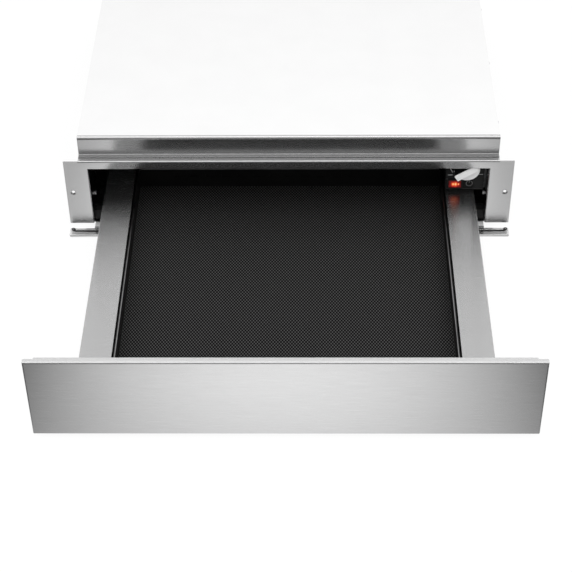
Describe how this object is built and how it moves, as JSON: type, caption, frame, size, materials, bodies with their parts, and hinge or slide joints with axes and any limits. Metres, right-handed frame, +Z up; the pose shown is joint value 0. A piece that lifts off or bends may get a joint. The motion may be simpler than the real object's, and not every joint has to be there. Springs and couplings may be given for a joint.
{
  "type": "built in warming drawer",
  "caption": "Built-in warming drawer with a brushed steel front, a drawer on telescopic slides, a fan-heated housing, a temperature knob, a rocker switch and a push latch.",
  "frame": {"origin": "on the underside of the base plate, midway across, in the plane of the front frame's front face", "axes": "+X to the right seen from the front, +Y back into the cabinet, +Z up; the drawer is pulled out towards -Y at rest"},
  "size_m": [0.594, 0.9095, 0.14],
  "materials": {
    "brushed_steel": "horizontally brushed stainless steel",
    "galvanised_steel": "galvanised sheet steel",
    "polished_steel": "bright zinc plated steel",
    "white_enamel": "white baked enamel",
    "black_enamel": "satin black enamel",
    "black_plastic": "gloss black",
    "mat_rubber": "black silicone, dimpled, matt",
    "bumper_rubber": "matt",
    "knob_satin": "satin metal",
    "red_lens": "translucent red, lit",
    "heater_sheath": "heat-tinted nickel alloy",
    "motor_steel": "laminated steel",
    "white_nylon": "natural nylon",
    "insulator": "heat-proof moulding",
    "loom_sleeve": "silicone sleeve",
    "capillary_copper": "bright copper"
  },
  "bodies": {
    "housing": {"base_plate": "galvanised_steel", "left_side_wall": "galvanised_steel", "right_side_wall": "galvanised_steel", "rear_wall": "galvanised_steel", "top_cover": "white_enamel", "front_frame": "brushed_steel", "top_upstand": "brushed_steel", "bottom_trim": "brushed_steel", "left_frame_screw": "polished_steel", "right_frame_screw": "polished_steel", "left_guide_block": "black_plastic", "right_guide_block": "black_plastic", "air_baffle": "black_enamel", "fan_housing": "galvanised_steel", "fan_motor": "motor_steel", "heater_element": "heater_sheath", "safety_cutout": "insulator", "terminal_block": "insulator", "cable_gland": "black_plastic", "push_latch_body": "black_plastic", "control_panel": "black_plastic", "control_bracket": "galvanised_steel", "switch_body": "black_plastic", "thermostat_body": "insulator", "wire_loom": "loom_sleeve", "thermostat_capillary": "capillary_copper", "left_slide_bracket": "galvanised_steel", "right_slide_bracket": "galvanised_steel", "left_cabinet_rail": "polished_steel", "right_cabinet_rail": "polished_steel"},
    "drawer": {"front_panel": "brushed_steel", "inner_front_panel": "brushed_steel", "left_front_bracket": "galvanised_steel", "right_front_bracket": "galvanised_steel", "left_lower_bumper": "bumper_rubber", "right_lower_bumper": "bumper_rubber", "left_upper_bumper": "bumper_rubber", "right_upper_bumper": "bumper_rubber", "drawer_tub": "black_enamel", "anti_slip_mat": "mat_rubber", "left_drawer_rim": "brushed_steel", "right_drawer_rim": "brushed_steel", "left_drawer_rail": "polished_steel", "right_drawer_rail": "polished_steel", "drawer_rear_rail": "black_enamel", "latch_plate": "polished_steel"},
    "left_mid": {"left_mid_rail": "polished_steel"},
    "right_mid": {"right_mid_rail": "polished_steel"},
    "left_outer_cage": {"left_outer_ball_cage": "polished_steel"},
    "right_outer_cage": {"right_outer_ball_cage": "polished_steel"},
    "left_inner_cage": {"left_inner_ball_cage": "polished_steel"},
    "right_inner_cage": {"right_inner_ball_cage": "polished_steel"},
    "knob": {"temperature_knob": "knob_satin", "thermostat_shaft": "polished_steel"},
    "rocker": {"switch_rocker": "red_lens"},
    "impeller": {"fan_impeller": "galvanised_steel", "fan_shaft": "polished_steel"},
    "plunger": {"push_latch_plunger": "white_nylon"}
  },
  "joints": [
    {"name": "drawer_slide", "type": "slide", "parent": "housing", "child": "drawer", "axis": [0, 1, 0], "range_m": [0, 0.3687]},
    {"name": "left_mid_slide", "type": "slide", "parent": "housing", "child": "left_mid", "axis": [0, 1, 0], "range_m": [0, 0.1845]},
    {"name": "left_outer_cage_slide", "type": "slide", "parent": "housing", "child": "left_outer_cage", "axis": [0, 1, 0], "range_m": [0, 0.0923]},
    {"name": "left_inner_cage_slide", "type": "slide", "parent": "housing", "child": "left_inner_cage", "axis": [0, 1, 0], "range_m": [0, 0.2766]},
    {"name": "right_mid_slide", "type": "slide", "parent": "housing", "child": "right_mid", "axis": [0, 1, 0], "range_m": [0, 0.1845]},
    {"name": "right_outer_cage_slide", "type": "slide", "parent": "housing", "child": "right_outer_cage", "axis": [0, 1, 0], "range_m": [0, 0.0923]},
    {"name": "right_inner_cage_slide", "type": "slide", "parent": "housing", "child": "right_inner_cage", "axis": [0, 1, 0], "range_m": [0, 0.2766]},
    {"name": "knob_turn", "type": "hinge", "parent": "housing", "child": "knob", "pos_m": [0.2371, 0.003, 0.0893], "axis": [0, 1, 0], "range_deg": [0, 246]},
    {"name": "rocker_tilt", "type": "hinge", "parent": "housing", "child": "rocker", "pos_m": [0.2238, 0.0312, 0.053], "axis": [1, 0, 0], "range_deg": [0, 14]},
    {"name": "impeller_spin", "type": "hinge", "parent": "housing", "child": "impeller", "pos_m": [0, 0.47, 0.075], "axis": [0, 1, 0], "continuous": true},
    {"name": "plunger_press", "type": "slide", "parent": "housing", "child": "plunger", "axis": [0, 1, 0], "range_m": [0, 0.008], "stiffness_N_per_m": 200}
  ],
  "couplings": [
    {"joint": "left_mid_slide", "follows": "drawer_slide", "ratio": 0.5},
    {"joint": "left_outer_cage_slide", "follows": "drawer_slide", "ratio": 0.25},
    {"joint": "left_inner_cage_slide", "follows": "drawer_slide", "ratio": 0.75},
    {"joint": "right_mid_slide", "follows": "drawer_slide", "ratio": 0.5},
    {"joint": "right_outer_cage_slide", "follows": "drawer_slide", "ratio": 0.25},
    {"joint": "right_inner_cage_slide", "follows": "drawer_slide", "ratio": 0.75}
  ]
}
